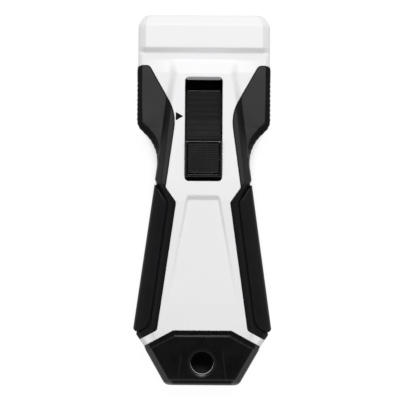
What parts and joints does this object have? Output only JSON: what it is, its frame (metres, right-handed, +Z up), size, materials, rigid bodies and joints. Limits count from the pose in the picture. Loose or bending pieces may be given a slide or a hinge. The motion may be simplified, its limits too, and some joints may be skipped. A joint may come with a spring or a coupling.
{
  "type": "cleaning scraper",
  "caption": "Hand-held cleaning scraper with soft side grips, a hanging hole and a thumb slider that pushes a single edge blade out of the head.",
  "frame": {"origin": "middle of the bounding box's underside: centre of the handle's length and width, on the flat underside", "axes": "+Y along the handle towards the blade end, +Z up through the slider, +X to the right seen from above with the blade end away"},
  "size_m": [0.0562, 0.15, 0.0217],
  "materials": {
    "white_plastic": "satin white moulded plastic with a fine texture",
    "grip_rubber": "matt black soft rubber with a fine grain",
    "cap_rubber": "smooth black rubber with a slight sheen",
    "black_plastic": "black moulded plastic",
    "button_plastic": "black knurled plastic",
    "carrier_plastic": "dark grey moulded plastic",
    "spring_steel": "rolled spring steel",
    "blade_steel": "ground blade steel",
    "screw_steel": "zinc plated steel"
  },
  "bodies": {
    "handle": {"top_shell": "white_plastic", "bottom_shell": "white_plastic", "left_side_grip": "grip_rubber", "right_side_grip": "grip_rubber", "tail_cap": "cap_rubber", "case_screw_1": "screw_steel", "case_screw_2": "screw_steel", "case_screw_3": "screw_steel", "case_screw_4": "screw_steel"},
    "carriage": {"slider_cover": "black_plastic", "detent_spring": "spring_steel", "spring_rivet": "spring_steel", "blade_carrier": "carrier_plastic", "blade_clip": "spring_steel", "clip_rivet_left": "spring_steel", "clip_rivet_right": "spring_steel", "blade": "blade_steel", "blade_spine": "spring_steel"},
    "button": {"lock_button": "button_plastic"}
  },
  "joints": [
    {"name": "blade_slide", "type": "slide", "parent": "handle", "child": "carriage", "axis": [0, 1, 0], "range_m": [0, 0.0204]},
    {"name": "button_press", "type": "slide", "parent": "carriage", "child": "button", "axis": [0, 0, -1], "range_m": [0, 0.001], "stiffness_N_per_m": 1500, "springref_m": -0.001, "deforming": ["detent_spring"]}
  ]
}
